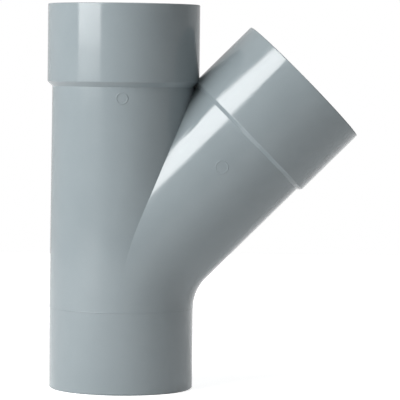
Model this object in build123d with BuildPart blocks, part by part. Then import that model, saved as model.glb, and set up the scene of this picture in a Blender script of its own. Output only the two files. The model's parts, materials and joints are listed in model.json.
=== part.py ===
"""A 45 degree lateral wye for 110 mm drain pipe, moulded in one piece.

The straight run stands on its plain spigot, with a solvent-weld socket on top. The lateral
leaves the run in a swept bend and ends in a second socket of the same size.
Lengths are in millimetres. The origin is the centre of the spigot's end face, +Z runs up
the run's axis, and the lateral leans towards +X in the XZ plane.
"""

import math
import os

from build123d import *

# Pipe that the fitting joins
PIPE_DIAMETER = 110.0
SOCKET_CLEARANCE = 0.15  # radial gap for the solvent cement

# Walls
BODY_WALL = 3.2
SOCKET_WALL = 2.85

# Lengths along the axes
SPIGOT_LENGTH = 62.0
STOP_DISTANCE = 136.3  # from the axes' crossing to the pipe stop in each socket
SOCKET_DEPTH = 59.0

# The lateral and its swept throat
LATERAL_ANGLE = 45.0
THROAT_RADIUS = 32.0  # outside, in the corner under the lateral

# Web that closes the crotch between the run and the lateral
WEB_WIDTH = 4.0
WEB_THICKNESS = 2.4
WEB_REACH = 3.4  # out from where the two skins meet
WEB_ROOT = 6.0  # in from there

# Body outside the spigot
WITNESS_STEP = 0.15  # how far the body stands proud of the spigot
BODY_DRAFT = 0.85  # how much smaller in radius the run is at its socket

# Edges
MOUTH_ROUND = 0.7
LEAD_IN_DEPTH = 3.0
LEAD_IN_WIDTH = 0.6
SPIGOT_BEVEL = 1.0
SHOULDER_ROUND = 0.8

# Radii
spigot_radius = PIPE_DIAMETER / 2
body_radius = spigot_radius + WITNESS_STEP
run_top_radius = body_radius - BODY_DRAFT
bore_radius = spigot_radius + SOCKET_CLEARANCE
socket_radius = bore_radius + SOCKET_WALL

# The bend turns round the throat, and its straight tangents meet where the axes cross
bend_radius = body_radius + THROAT_RADIUS
bend_tangent = bend_radius * math.tan(math.radians(LATERAL_ANGLE / 2))
crossing_height = SPIGOT_LENGTH + bend_tangent
crossing = Vector(0, 0, crossing_height)
mouth_distance = STOP_DISTANCE + SOCKET_DEPTH

lean = math.radians(LATERAL_ANGLE)
lateral_direction = Vector(math.sin(lean), 0, math.cos(lean))
across_lateral = Vector(math.cos(lean), 0, -math.sin(lean))

crotch_distance = body_radius / math.sin(lean / 2)
bisector = Vector(math.sin(lean / 2), 0, math.cos(lean / 2))

# Section planes through each axis: local X is the radius, local Y runs out to the mouth
run_section = Plane(origin=crossing, x_dir=(1, 0, 0), z_dir=(0, -1, 0))
lateral_section = Plane(origin=crossing, x_dir=across_lateral, z_dir=(0, -1, 0))
run_axis = Axis(crossing, (0, 0, 1))
lateral_axis = Axis(crossing, lateral_direction)


# Two branching passages, the body's skin and the water's way inside it. In each a foot runs
# up from the spigot's end, a drafted cone carries on up the run, and a bend with a straight
# length carries on along the lateral, both as far as the pipe stops.
passages = []
for wall in (0, BODY_WALL):
    with BuildPart() as passage:
        with BuildLine() as lateral_path:
            bend = TangentArc(
                (0, 0, SPIGOT_LENGTH),
                crossing + lateral_direction * bend_tangent,
                tangent=(0, 0, 1),
            )
            Line(bend @ 1, crossing + lateral_direction * STOP_DISTANCE)
        with BuildSketch(Plane.XY.offset(SPIGOT_LENGTH)):
            Circle(body_radius - wall)
        sweep(path=lateral_path.line)

        with BuildSketch(run_section):
            with BuildLine():
                Polyline(
                    (0, -bend_tangent),
                    (body_radius - wall, -bend_tangent),
                    (run_top_radius - wall, STOP_DISTANCE),
                    (0, STOP_DISTANCE),
                    close=True,
                )
            make_face()
        revolve(axis=run_axis)

        with BuildSketch(Plane.XY):
            Circle(spigot_radius - wall)
        extrude(amount=SPIGOT_LENGTH)
    passages.append(passage.part)
skin, waterway = passages

with BuildPart() as wye_body:
    add(skin)

    for section, axis, neck_radius in (
        (run_section, run_axis, run_top_radius),
        (lateral_section, lateral_axis, body_radius),
    ):
        # The socket's outside, with a 45 degree shoulder down to the body
        shoulder_drop = socket_radius - neck_radius
        with BuildSketch(section):
            with BuildLine():
                Polyline(
                    (0, STOP_DISTANCE - shoulder_drop),
                    (neck_radius, STOP_DISTANCE - shoulder_drop),
                    (socket_radius, STOP_DISTANCE),
                    (socket_radius, mouth_distance),
                    (0, mouth_distance),
                    close=True,
                )
            make_face()
            outer_corners = vertices().sort_by(Axis.X)[-2:]
            fillet(outer_corners.sort_by(Axis.Y)[-1], MOUTH_ROUND)
            fillet(vertices().sort_by(Axis.X)[-3:].sort_by(Axis.Y)[0], SHOULDER_ROUND)
        revolve(axis=axis)

    with BuildSketch(Plane(origin=crossing + bisector * crotch_distance, z_dir=bisector)):
        Rectangle(WEB_THICKNESS, WEB_WIDTH)
    extrude(amount=WEB_REACH)
    with BuildSketch(Plane(origin=crossing + bisector * crotch_distance, z_dir=-bisector)):
        Rectangle(WEB_THICKNESS, WEB_WIDTH)
    extrude(amount=WEB_ROOT)

    add(waterway, mode=Mode.SUBTRACT)

    for section, axis in ((run_section, run_axis), (lateral_section, lateral_axis)):
        # The socket's bore down to the pipe stop, with a lead-in at the mouth
        with BuildSketch(section):
            with BuildLine():
                Polyline(
                    (0, STOP_DISTANCE),
                    (bore_radius, STOP_DISTANCE),
                    (bore_radius, mouth_distance - LEAD_IN_DEPTH),
                    (bore_radius + LEAD_IN_WIDTH, mouth_distance),
                    (0, mouth_distance),
                    close=True,
                )
            make_face()
        revolve(axis=axis, mode=Mode.SUBTRACT)

    spigot_rims = wye_body.edges().group_by(Axis.Z)[0].sort_by(SortBy.RADIUS)
    chamfer(spigot_rims[-1], SPIGOT_BEVEL)

print("valid", wye_body.part.is_valid, "solids", len(wye_body.part.solids()), wye_body.part.volume)
wye_body.part.label = "wye_body"
os.makedirs("parts", exist_ok=True)
export_step(wye_body.part, "parts/wye_body.step")
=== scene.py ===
"""A grey PVC lateral wye, dressed and set in a pale studio.

The moulding itself is the CAD solid. This script gives it its finish, adds the low rings that
the mould leaves beside the sockets and a thin flash line at the spigot, and sets up the floor,
the lamps and the camera. Lengths are in metres, +Z is up, and the lateral leans towards +X.
"""

import json
import logging
import math
from dataclasses import dataclass
from enum import Enum

import bpy
import numpy as np
from mathutils import Matrix, Vector


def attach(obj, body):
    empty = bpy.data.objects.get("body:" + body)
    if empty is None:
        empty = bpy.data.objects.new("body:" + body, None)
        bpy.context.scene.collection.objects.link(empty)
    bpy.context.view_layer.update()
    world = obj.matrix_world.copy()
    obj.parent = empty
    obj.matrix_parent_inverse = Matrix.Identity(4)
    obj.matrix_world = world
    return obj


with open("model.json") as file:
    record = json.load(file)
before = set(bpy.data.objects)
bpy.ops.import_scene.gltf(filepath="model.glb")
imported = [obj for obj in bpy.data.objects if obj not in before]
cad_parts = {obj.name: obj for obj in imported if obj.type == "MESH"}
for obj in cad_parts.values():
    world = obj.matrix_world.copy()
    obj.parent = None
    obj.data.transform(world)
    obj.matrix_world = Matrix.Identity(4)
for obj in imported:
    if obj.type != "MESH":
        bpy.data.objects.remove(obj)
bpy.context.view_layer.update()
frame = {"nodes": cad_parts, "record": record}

LOG = logging.getLogger("lateral_wye")

NODE = "wye_body"
LATERAL_MOUNT = "lateral_socket"

MIRRORED_SHARE = 0.6

Colour = tuple[float, float, float]
Triple = tuple[float, float, float]


class Tube(Enum):
    """The two tubes of the fitting, each by the lean of its axis from +Z towards +X."""

    RUN = 0.0
    LATERAL = 45.0

    @property
    def direction(self) -> np.ndarray:
        """Unit vector along the tube's axis, from the crossing out to its mouth."""
        lean = math.radians(self.value)
        return np.array([math.sin(lean), 0.0, math.cos(lean)])

    @property
    def across(self) -> np.ndarray:
        """Unit vector square to the tube's axis in the plane of both axes."""
        lean = math.radians(self.value)
        return np.array([math.cos(lean), 0.0, -math.sin(lean)])


@dataclass(frozen=True)
class Noise:
    """Settings of one noise pattern.

    Attributes:
        scale: Features to the metre.
        detail: Octaves of finer noise.
    """

    scale: float
    detail: float

    def build(self, material: bpy.types.Material, place: bpy.types.Node) -> bpy.types.NodeSocket:
        """Adds the pattern to a material, on Object coordinates.

        Args:
            material: The material.
            place: Its Texture Coordinate node.

        Returns:
            The output that carries the pattern, from 0 to 1.
        """
        noise = material.node_tree.nodes.new("ShaderNodeTexNoise")
        noise.inputs["Scale"].default_value = self.scale
        noise.inputs["Detail"].default_value = self.detail
        material.node_tree.links.new(place.outputs["Object"], noise.inputs["Vector"])
        return noise.outputs["Fac"]


@dataclass(frozen=True)
class MouldedPvc:
    """Solid-coloured PVC from a polished mould, with faint flow clouds and a fine ripple.

    Attributes:
        name: The material's name.
        pale: Colour where clouds and specks are strong.
        deep: Colour where they are weak.
        ior: Index of refraction, which sets how strongly the skin mirrors.
        clouds: The slow drift of colour and roughness.
        specks: The fine grain in the colour.
        ripple: The waviness of the skin.
        speck_share: How much the specks add to the clouds.
        deep_level: Sum of clouds and specks at which the colour is `deep`.
        pale_level: Sum at which the colour is `pale`.
        roughness: Mean roughness.
        roughness_spread: How far the clouds move it either way.
        cloud_range: Lowest and highest value of the clouds that the roughness follows.
        ripple_height: Height of a full ripple.
        ripple_strength: Share of the ripple that the shading shows.
    """

    name: str = "moulded_grey_pvc"
    pale: Colour = (0.276, 0.322, 0.341)
    deep: Colour = (0.252, 0.296, 0.315)
    ior: float = 1.55
    clouds: Noise = Noise(scale=22.0, detail=3.0)
    specks: Noise = Noise(scale=1400.0, detail=1.0)
    ripple: Noise = Noise(scale=55.0, detail=2.0)
    speck_share: float = 0.35
    deep_level: float = 0.35
    pale_level: float = 0.95
    roughness: float = 0.13
    roughness_spread: float = 0.025
    cloud_range: tuple[float, float] = (0.3, 0.7)
    ripple_height: float = 0.00006
    ripple_strength: float = 0.6

    def build(self) -> bpy.types.Material:
        """Makes the material.

        Returns:
            The material, whose patterns all follow Object coordinates.
        """
        material = bpy.data.materials.new(self.name)
        material.use_nodes = True
        shader = material.node_tree.nodes["Principled BSDF"]
        shader.inputs["IOR"].default_value = self.ior
        place = material.node_tree.nodes.new("ShaderNodeTexCoord")
        clouds = self.clouds.build(material, place)
        specks = self.specks.build(material, place)
        ripple = self.ripple.build(material, place)
        self._colour(material, shader, clouds, specks)
        self._roughen(material, shader, clouds)
        self._wave(material, shader, ripple)
        return material

    def _colour(
        self,
        material: bpy.types.Material,
        shader: bpy.types.Node,
        clouds: bpy.types.NodeSocket,
        specks: bpy.types.NodeSocket,
    ) -> None:
        """Blends the two colours by clouds + speck share x specks.

        Args:
            material: The material.
            shader: Its shader.
            clouds: Output of the clouds.
            specks: Output of the specks.
        """
        nodes, links = material.node_tree.nodes, material.node_tree.links
        blend = nodes.new("ShaderNodeMath")
        blend.operation = "MULTIPLY_ADD"
        blend.inputs[1].default_value = self.speck_share
        links.new(specks, blend.inputs[0])
        links.new(clouds, blend.inputs[2])
        ramp = nodes.new("ShaderNodeValToRGB")
        deep_end, pale_end = ramp.color_ramp.elements
        deep_end.position = self.deep_level
        deep_end.color = (*self.deep, 1.0)
        pale_end.position = self.pale_level
        pale_end.color = (*self.pale, 1.0)
        links.new(blend.outputs[0], ramp.inputs["Fac"])
        links.new(ramp.outputs["Color"], shader.inputs["Base Color"])

    def _roughen(
        self,
        material: bpy.types.Material,
        shader: bpy.types.Node,
        clouds: bpy.types.NodeSocket,
    ) -> None:
        """Lets the roughness follow the clouds.

        Args:
            material: The material.
            shader: Its shader.
            clouds: Output of the clouds.
        """
        nodes, links = material.node_tree.nodes, material.node_tree.links
        rough = nodes.new("ShaderNodeMapRange")
        rough.inputs["From Min"].default_value = self.cloud_range[0]
        rough.inputs["From Max"].default_value = self.cloud_range[1]
        rough.inputs["To Min"].default_value = self.roughness - self.roughness_spread
        rough.inputs["To Max"].default_value = self.roughness + self.roughness_spread
        links.new(clouds, rough.inputs["Value"])
        links.new(rough.outputs["Result"], shader.inputs["Roughness"])

    def _wave(
        self,
        material: bpy.types.Material,
        shader: bpy.types.Node,
        ripple: bpy.types.NodeSocket,
    ) -> None:
        """Gives the skin its fine waviness.

        Args:
            material: The material.
            shader: Its shader.
            ripple: Output of the ripple.
        """
        nodes, links = material.node_tree.nodes, material.node_tree.links
        bump = nodes.new("ShaderNodeBump")
        bump.inputs["Distance"].default_value = self.ripple_height
        bump.inputs["Strength"].default_value = self.ripple_strength
        links.new(ripple, bump.inputs["Height"])
        links.new(bump.outputs["Normal"], shader.inputs["Normal"])


@dataclass(frozen=True)
class StudioPaper:
    """Matt white paper that glows towards the camera, which leaves only a trace of shadow.

    Attributes:
        name: The material's name.
        white: Colour of the paper.
        lift: Strength of the glow.
    """

    name: str = "studio_paper"
    white: Colour = (0.86, 0.86, 0.86)
    lift: float = 0.74

    def build(self) -> bpy.types.Material:
        """Makes the material.

        Returns:
            The material: a matt white, plus a glow that the camera and mirrored rays see.
        """
        material = bpy.data.materials.new(self.name)
        material.use_nodes = True
        nodes = material.node_tree.nodes
        links = material.node_tree.links
        nodes.remove(nodes["Principled BSDF"])
        matt = nodes.new("ShaderNodeBsdfDiffuse")
        matt.inputs["Color"].default_value = (*self.white, 1.0)
        glow = nodes.new("ShaderNodeEmission")
        links.new(seen_rays(material.node_tree, self.lift), glow.inputs["Strength"])
        both = nodes.new("ShaderNodeAddShader")
        links.new(matt.outputs[0], both.inputs[0])
        links.new(glow.outputs[0], both.inputs[1])
        links.new(both.outputs[0], nodes["Material Output"].inputs["Surface"])
        return material


def seen_rays(tree: bpy.types.NodeTree, level: float) -> bpy.types.NodeSocket:
    """Gives a level to rays that show the surroundings, and none to those that light the part.

    Args:
        tree: The node tree of a material or of the world.
        level: Value for camera rays. Glossy and transmission rays have MIRRORED_SHARE of it.

    Returns:
        The output that carries the value.
    """
    path = tree.nodes.new("ShaderNodeLightPath")
    total = path.outputs["Is Camera Ray"]
    for name in ("Is Glossy Ray", "Is Transmission Ray"):
        mirrored = tree.nodes.new("ShaderNodeMath")
        mirrored.operation = "MULTIPLY_ADD"
        mirrored.inputs[1].default_value = MIRRORED_SHARE
        tree.links.new(path.outputs[name], mirrored.inputs[0])
        tree.links.new(total, mirrored.inputs[2])
        total = mirrored.outputs[0]
    scaled = tree.nodes.new("ShaderNodeMath")
    scaled.operation = "MULTIPLY"
    scaled.inputs[1].default_value = level
    tree.links.new(total, scaled.inputs[0])
    return scaled.outputs[0]


def grid_mesh(name: str, points: np.ndarray, closed: bool) -> bpy.types.Mesh:
    """Skins a grid of points with four-sided faces.

    Face (i, j) joins points (i, j), (i + 1, j), (i + 1, j + 1) and (i, j + 1), where an index
    wraps round if the grid is closed.

    Args:
        name: The mesh's name.
        points: Array of shape (rows, columns, 3), in metres.
        closed: Whether both the rows and the columns wrap round.

    Returns:
        The mesh, shaded smooth.
    """
    rows, columns = points.shape[:2]
    ends = 0 if closed else 1
    i = np.arange(rows - ends)[:, None]
    j = np.arange(columns - ends)[None, :]
    i_next, j_next = (i + 1) % rows, (j + 1) % columns
    corners = (
        i * columns + j,
        i_next * columns + j,
        i_next * columns + j_next,
        i * columns + j_next,
    )
    faces = np.stack(np.broadcast_arrays(*corners), axis=-1).reshape(-1, 4)
    mesh = bpy.data.meshes.new(name)
    mesh.from_pydata(points.reshape(-1, 3).tolist(), [], faces.tolist())
    mesh.polygons.foreach_set("use_smooth", np.ones(len(faces), dtype=bool))
    mesh.update()
    return mesh


def bead_angles(turns: int, steps: int) -> tuple[np.ndarray, np.ndarray]:
    """Divides a closed bead evenly both ways.

    Args:
        turns: Points along the bead.
        steps: Points round its section.

    Returns:
        The angle along the bead as a column, and the angle round its section as a row.
    """
    along = np.linspace(0.0, 2.0 * np.pi, turns, endpoint=False)[:, None]
    section = np.linspace(0.0, 2.0 * np.pi, steps, endpoint=False)[None, :]
    return along, section


def moulded_piece(name: str, points: np.ndarray, finish: bpy.types.Material) -> bpy.types.Object:
    """Makes a closed bead that belongs to the moulding.

    Args:
        name: The piece's name.
        points: Array of shape (turns, steps, 3) that wraps round both ways.
        finish: The plastic.

    Returns:
        The piece, fixed to the fitting.
    """
    mesh = grid_mesh(name, points, closed=True)
    mesh.materials.append(finish)
    piece = bpy.data.objects.new(name, mesh)
    bpy.context.scene.collection.objects.link(piece)
    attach(piece, "root")
    return piece


@dataclass(frozen=True)
class MouldRing:
    """A low round bead on a tube's side, left where a round pin of the mould met the plastic.

    Attributes:
        name: The piece's name.
        tube: The tube that it sits on.
        along: Distance of its centre from the axes' crossing, along the tube's axis.
        round_tube: Distance of its centre from the tube's front, round the skin towards `across`.
        skin_radius: Radius of the tube's skin there.
        ring_radius: Radius of the bead's crown.
        bead_width: Width of the bead.
        bead_height: Height of its crown over the skin.
        turns: Points round the ring.
        steps: Points round the bead's section.
    """

    name: str
    tube: Tube
    along: float
    round_tube: float
    skin_radius: float
    ring_radius: float
    bead_width: float = 0.0009
    bead_height: float = 0.00018
    turns: int = 96
    steps: int = 16

    def points(self, crossing: np.ndarray) -> np.ndarray:
        """Works out the bead's skin.

        With u round the ring and v round the bead, a point lies (ring radius + half width x
        cos v) from the ring's centre, measured on the tube's skin, and height x sin v above
        it. The skin is then rolled onto the tube: arc length s becomes the angle s / radius.

        Args:
            crossing: Where the two tubes' axes cross.

        Returns:
            Array of shape (turns, steps, 3).
        """
        u, v = bead_angles(self.turns, self.steps)
        reach = self.ring_radius + 0.5 * self.bead_width * np.cos(v)
        along = self.along + reach * np.sin(u)
        angle = (self.round_tube + reach * np.cos(u)) / self.skin_radius
        radius = self.skin_radius + self.bead_height * np.sin(v)
        front = np.array([0.0, -1.0, 0.0])
        return (
            crossing
            + along[..., None] * self.tube.direction
            + (radius * np.sin(angle))[..., None] * self.tube.across
            + (radius * np.cos(angle))[..., None] * front
        )


@dataclass(frozen=True)
class FlashLine:
    """The hair-thin bead round the spigot where the two ends of the mould met.

    Attributes:
        name: The piece's name.
        height: Its height over the spigot's end.
        skin_radius: Radius of the skin that it sits on.
        bead_width: Width of the bead.
        bead_height: Height of its crown over the skin.
        turns: Points round the spigot.
        steps: Points round the bead's section.
    """

    name: str = "spigot_flash_line"
    height: float = 0.062
    skin_radius: float = 0.0551
    bead_width: float = 0.0005
    bead_height: float = 0.00011
    turns: int = 360
    steps: int = 12

    def points(self) -> np.ndarray:
        """Works out the bead's skin.

        With u round the spigot and v round the bead, a point stands at radius skin radius +
        height x sin v, and half width x cos v below the line.

        Returns:
            Array of shape (turns, steps, 3).
        """
        u, v = bead_angles(self.turns, self.steps)
        radius = self.skin_radius + self.bead_height * np.sin(v)
        level = self.height - 0.5 * self.bead_width * np.cos(v)
        grid = np.broadcast_arrays(radius * np.cos(u), radius * np.sin(u), level)
        return np.stack(grid, axis=-1)


@dataclass(frozen=True)
class Wye:
    """The moulded fitting: the CAD solid with its finish, and the marks that the mould left.

    Attributes:
        run_ring: The bead on the run, under its socket.
        lateral_ring: The bead on the lateral, before its socket.
        flash_line: The bead round the top of the spigot.
    """

    run_ring: MouldRing = MouldRing(
        name="run_mould_ring",
        tube=Tube.RUN,
        along=0.1243,
        round_tube=-0.0012,
        skin_radius=0.05452,
        ring_radius=0.0042,
    )
    lateral_ring: MouldRing = MouldRing(
        name="lateral_mould_ring",
        tube=Tube.LATERAL,
        along=0.1043,
        round_tube=0.0,
        skin_radius=0.05515,
        ring_radius=0.0047,
    )
    flash_line: FlashLine = FlashLine()

    @staticmethod
    def crossing() -> np.ndarray:
        """Finds where the two axes cross: the lateral's axis, followed back to the run's axis.

        Returns:
            The crossing, which lies on the Z axis.
        """
        mounts = {mount["name"]: mount for mount in frame["record"]["mounts"]}
        socket = np.array(mounts[LATERAL_MOUNT]["pos_m"])
        direction = Tube.LATERAL.direction
        return socket - direction * socket[0] / direction[0]

    def build(self, finish: bpy.types.Material) -> list[bpy.types.Object]:
        """Dresses the solid and adds the mould's marks.

        Args:
            finish: The plastic.

        Returns:
            Every piece of the fitting.
        """
        body = frame["nodes"][NODE]
        body.data.materials.clear()
        body.data.materials.append(finish)
        pieces = [body]
        for ring in (self.run_ring, self.lateral_ring):
            pieces.append(moulded_piece(ring.name, ring.points(self.crossing()), finish))
        line = self.flash_line
        pieces.append(moulded_piece(line.name, line.points(), finish))
        return pieces


@dataclass(frozen=True)
class Lamp:
    """A soft rectangular lamp that faces the fitting.

    Attributes:
        name: The lamp's name.
        towards: Direction from the fitting's middle to the lamp.
        distance: How far away it stands.
        width: Size along `edge`.
        height: Size square to `edge`.
        edge: A direction that its width runs along.
        power: Watts.
        lights: Whether it lights matt colour.
        mirrored: Whether gloss shows it.
    """

    name: str
    towards: Triple
    distance: float
    width: float
    height: float
    edge: Triple
    power: float
    lights: bool = True
    mirrored: bool = True

    def build(self, aim: Vector) -> bpy.types.Object:
        """Makes the lamp.

        Args:
            aim: The point that it faces.

        Returns:
            The lamp.
        """
        data = bpy.data.lights.new(self.name, "AREA")
        data.shape = "RECTANGLE"
        data.size = self.width
        data.size_y = self.height
        data.energy = self.power
        lamp = bpy.data.objects.new(self.name, data)
        bpy.context.scene.collection.objects.link(lamp)
        back = Vector(self.towards).normalized()
        side = Vector(self.edge)
        side = (side - back * side.dot(back)).normalized()
        up = back.cross(side)
        turn = Matrix((side, up, back)).transposed().to_4x4()
        lamp.matrix_world = Matrix.Translation(aim + back * self.distance) @ turn
        lamp.visible_camera = False
        lamp.visible_diffuse = self.lights
        lamp.visible_glossy = self.mirrored
        return lamp


LEFT_LAMP_EDGE = (0.586, -0.810, 0.0)

SOFTBOX = Lamp(
    name="softbox",
    towards=(-0.727, -0.526, 0.441),
    distance=2.0,
    width=1.38,
    height=1.68,
    edge=LEFT_LAMP_EDGE,
    power=50.0,
)
GLOSS_CARD = Lamp(
    name="gloss_card",
    towards=(-0.700, -0.507, 0.510),
    distance=1.9,
    width=1.31,
    height=1.22,
    edge=LEFT_LAMP_EDGE,
    power=15.5,
    lights=False,
)
BACK_FILL = Lamp(
    name="back_fill",
    towards=(0.45, 1.0, 0.30),
    distance=2.2,
    width=1.8,
    height=1.8,
    edge=(1.0, -0.45, 0.0),
    power=26.0,
    mirrored=False,
)


@dataclass(frozen=True)
class Studio:
    """The pale floor, the surroundings and the lamps.

    Attributes:
        floor_size: Length of the square floor's sides.
        paper: Finish of the floor.
        air: Colour of the surroundings.
        air_level: How strongly they light the fitting.
        seen_level: How bright the camera sees them.
        lamps: A softbox on the left, a card that only gloss shows, and a fill from behind.
        aim: The point that the lamps face, near the fitting's middle.
    """

    floor_size: float = 2.8
    paper: StudioPaper = StudioPaper()
    air: Colour = (1.0, 1.0, 1.0)
    air_level: float = 0.13
    seen_level: float = 1.0
    lamps: tuple[Lamp, ...] = (SOFTBOX, GLOSS_CARD, BACK_FILL)
    aim: Triple = (0.05, 0.0, 0.15)

    def build(self) -> None:
        """Lays the floor, hangs the lamps and fills the air with soft light."""
        self._floor()
        for lamp in self.lamps:
            lamp.build(Vector(self.aim))
            LOG.info("lamp %s", lamp.name)
        self._air()

    def _floor(self) -> None:
        """Lays the floor: a level square round the origin, facing up."""
        half = self.floor_size / 2.0
        x, y = np.meshgrid([-half, half], [-half, half], indexing="ij")
        corners = np.stack([x, y, np.zeros_like(x)], axis=-1)
        mesh = grid_mesh("floor", corners, closed=False)
        mesh.materials.append(self.paper.build())
        floor = bpy.data.objects.new("floor", mesh)
        bpy.context.scene.collection.objects.link(floor)

    def _air(self) -> None:
        """Makes the world: white where it is seen, dimmer where it is mirrored or lights."""
        world = bpy.data.worlds.new("soft_air")
        world.use_nodes = True
        tree = world.node_tree
        background = tree.nodes["Background"]
        background.inputs["Color"].default_value = (*self.air, 1.0)
        level = tree.nodes.new("ShaderNodeMath")
        level.operation = "ADD"
        level.inputs[1].default_value = self.air_level
        tree.links.new(seen_rays(tree, self.seen_level - self.air_level), level.inputs[0])
        tree.links.new(level.outputs[0], background.inputs["Strength"])
        bpy.context.scene.world = world


@dataclass(frozen=True)
class Eye:
    """The camera's place, aim and lens.

    Attributes:
        place: Where it stands.
        yaw: Degrees that the view turns from +Y towards +X.
        pitch: Degrees that it then lifts over the horizon.
        roll: Degrees that its right-hand side then tips up.
        lens: Focal length in millimetres.
        sensor: Width of the sensor in millimetres.
        nearest: Nearest distance that it shows.
        farthest: Farthest distance that it shows.
    """

    place: Triple = (-0.005654, -1.990740, 0.248104)
    yaw: float = 1.875
    pitch: float = -2.978
    roll: float = 0.667
    lens: float = 234.12
    sensor: float = 36.0
    nearest: float = 0.05
    farthest: float = 100.0

    def build(self) -> bpy.types.Object:
        """Makes the scene's camera.

        Returns:
            The camera.
        """
        yaw, pitch, roll = map(math.radians, (self.yaw, self.pitch, self.roll))
        level = Vector((math.sin(yaw), math.cos(yaw), 0.0))
        right = Vector((math.cos(yaw), -math.sin(yaw), 0.0))
        up = Vector((0.0, 0.0, 1.0))
        ahead = level * math.cos(pitch) + up * math.sin(pitch)
        upright = up * math.cos(pitch) - level * math.sin(pitch)
        side = right * math.cos(roll) + upright * math.sin(roll)
        top = upright * math.cos(roll) - right * math.sin(roll)
        data = bpy.data.cameras.new("camera")
        data.sensor_width = self.sensor
        data.lens = self.lens
        data.clip_start = self.nearest
        data.clip_end = self.farthest
        camera = bpy.data.objects.new("camera", data)
        bpy.context.scene.collection.objects.link(camera)
        turn = Matrix((side, top, -ahead)).transposed().to_4x4()
        camera.matrix_world = Matrix.Translation(Vector(self.place)) @ turn
        bpy.context.scene.camera = camera
        return camera


def main() -> None:
    """Builds the fitting, the studio and the camera, in that order."""
    logging.basicConfig(level=logging.INFO, format="%(name)s: %(message)s")
    plastic = MouldedPvc().build()
    for piece in Wye().build(plastic):
        LOG.info("piece %s, %d faces", piece.name, len(piece.data.polygons))
    Studio().build()
    LOG.info("camera %s", Eye().build().name)
    bpy.context.scene.view_settings.view_transform = "Standard"


if __name__ == "__main__":
    main()
